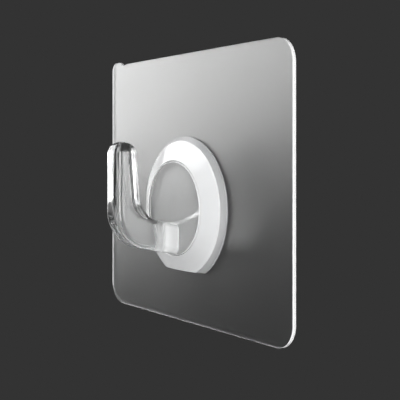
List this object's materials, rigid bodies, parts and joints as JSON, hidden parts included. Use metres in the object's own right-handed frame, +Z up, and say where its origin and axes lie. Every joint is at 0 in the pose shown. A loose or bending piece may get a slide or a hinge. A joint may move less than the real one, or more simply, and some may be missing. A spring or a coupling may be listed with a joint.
{
  "type": "adhesive wall hook",
  "caption": "Clear plate with an adhesive back under a peel-off liner, and a bevelled round collar on its front that holds a clear J-shaped hook for hanging light things.",
  "frame": {"origin": "centre of the plate on the wall plane, at the liner's back", "axes": "+Z is up, -Y points out of the wall towards the user, +X is to the right seen from the front"},
  "size_m": [0.07, 0.0198, 0.0606],
  "materials": {
    "liner_film": "thin clear film, gloss",
    "clear_gel": "clear tacky gel",
    "clear_film": "clear sheet, gloss, bright edges",
    "collar_plastic": "milky clear moulding, satin",
    "hook_plastic": "clear moulding, polished"
  },
  "bodies": {
    "hook_unit": {"adhesive_layer": "clear_gel", "backing_film": "clear_film", "bond_pad": "clear_gel", "base_collar": "collar_plastic", "hook": "hook_plastic"},
    "liner": {"release_liner": "liner_film"}
  },
  "joints": [
    {"name": "liner_peel", "type": "slide", "parent": "hook_unit", "child": "liner", "axis": [0, 1, 0], "range_m": [0, 0.04]}
  ]
}
